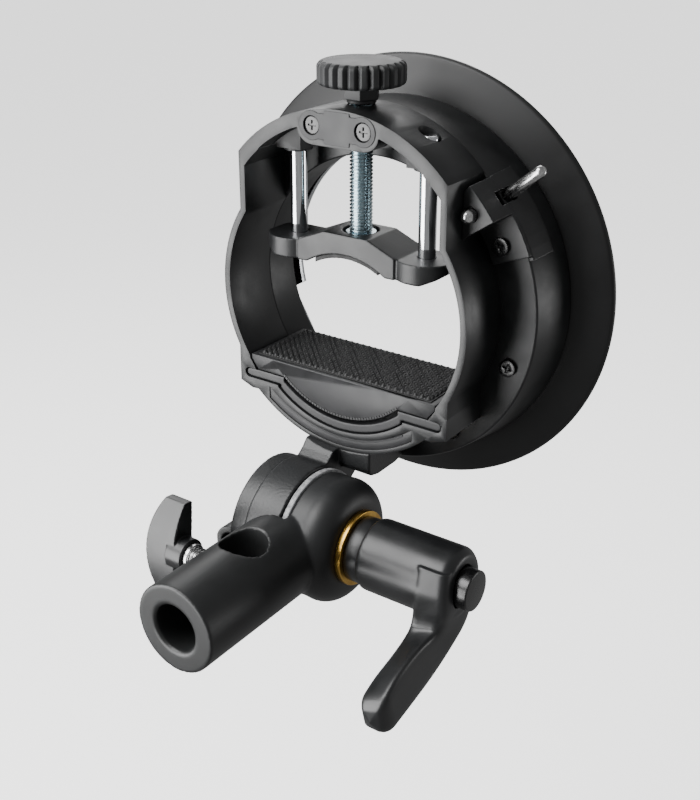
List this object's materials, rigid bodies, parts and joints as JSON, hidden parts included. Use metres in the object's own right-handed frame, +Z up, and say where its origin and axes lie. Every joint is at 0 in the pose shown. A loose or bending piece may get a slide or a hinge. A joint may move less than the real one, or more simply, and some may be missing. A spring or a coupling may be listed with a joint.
{
  "type": "flash bracket with umbrella holder",
  "caption": "Tilting light-stand bracket: a clamp ring with a flared bayonet flange and sprung lock, a lever-clamped tilt head, a stand socket with wing screw and an umbrella hole.",
  "frame": {"origin": "where the stand socket's axis crosses the barrel's axis", "axes": "+Z up along the stand socket, +X along the tilt axis towards the lever, +Y from the barrel towards the flange"},
  "size_m": [0.16, 0.1372, 0.1982],
  "materials": {
    "moulded_black": "fine-textured moulded nylon",
    "cast_black": "satin black powder coat on cast aluminium",
    "flange_black": "matt black paint",
    "rubber_black": "studded rubber",
    "knob_black": "moulded plastic",
    "black_screws": "black oxide",
    "chrome_rods": "polished chrome",
    "zinc_steel": "blue zinc plated",
    "bright_steel": "turned bright steel",
    "spring_steel": "oiled spring steel",
    "brass": "turned brass",
    "friction_grey": "grey friction disc",
    "lever_black": "satin black powder coat",
    "bayonet_steel": "brushed stainless plate"
  },
  "bodies": {
    "base": {"socket_body": "cast_black", "friction_washer": "friction_grey", "brass_washer": "brass", "tilt_bolt": "zinc_steel"},
    "head": {"rear_frame": "moulded_black", "frame_insert": "moulded_black", "spring_strip": "moulded_black", "pad_carrier": "moulded_black", "carrier_screws": "black_screws", "grip_pad": "rubber_black", "keeper_plate": "moulded_black", "keeper_screws": "black_screws", "clamp_nut": "brass", "rod_bushes": "knob_black", "mount_ring": "moulded_black", "ring_screws": "black_screws", "flange": "flange_black", "bayonet_ring": "bayonet_steel", "bayonet_screws": "bright_steel", "lock_cover": "moulded_black", "lock_screw": "black_screws", "lock_spring": "spring_steel", "tilt_arm": "cast_black", "arm_screws": "black_screws", "side_plate": "cast_black"},
    "jaw": {"clamp_jaw": "moulded_black", "jaw_pad": "rubber_black", "guide_rods": "chrome_rods", "rod_screws": "black_screws", "screw_clip": "spring_steel"},
    "screw": {"clamp_screw": "zinc_steel", "knob_collar": "knob_black", "clamp_knob": "knob_black"},
    "plunger": {"lock_plunger": "bright_steel", "release_pin": "bright_steel"},
    "lever_nut": {"lever_core": "lever_black", "lever_screw": "black_screws", "lever_spring": "spring_steel"},
    "lever": {"lever_handle": "lever_black"},
    "wing_shoe": {"wing_tip": "brass"},
    "wing": {"wing_thread": "bright_steel", "wing_grip": "lever_black"}
  },
  "joints": [
    {"name": "tilt", "type": "hinge", "parent": "base", "child": "head", "pos_m": [0, 0.038, 0], "axis": [1, 0, 0], "range_deg": [-72, 72]},
    {"name": "jaw_slide", "type": "slide", "parent": "head", "child": "jaw", "axis": [0, 0, 1], "range_m": [0, 0.026]},
    {"name": "screw_spin", "type": "hinge", "parent": "jaw", "child": "screw", "pos_m": [0, 0.067, 0.08], "axis": [0, 0, 1], "range_deg": [-1, 7492]},
    {"name": "lock_slide", "type": "slide", "parent": "head", "child": "plunger", "axis": [0, -1, 0], "range_m": [0, 0.0045], "stiffness_N_per_m": 500, "springref_m": -0.004},
    {"name": "lever_turn", "type": "hinge", "parent": "base", "child": "lever_nut", "pos_m": [0, 0.038, 0], "axis": [1, 0, 0], "range_deg": [-15, 90]},
    {"name": "lever_lift", "type": "slide", "parent": "lever_nut", "child": "lever", "axis": [1, 0, 0], "range_m": [0, 0.005], "stiffness_N_per_m": 900, "springref_m": -0.004},
    {"name": "wing_slide", "type": "slide", "parent": "base", "child": "wing_shoe", "axis": [-1, 0, 0], "range_m": [0, 0.006]},
    {"name": "wing_spin", "type": "hinge", "parent": "wing_shoe", "child": "wing", "pos_m": [0, 0, 0], "axis": [-1, 0, 0], "range_deg": [-1, 1730]}
  ],
  "couplings": [
    {"joint": "screw_spin", "follows": "jaw_slide", "rad_per_m": 5026.5},
    {"joint": "wing_spin", "follows": "wing_slide", "rad_per_m": 5026.5}
  ]
}
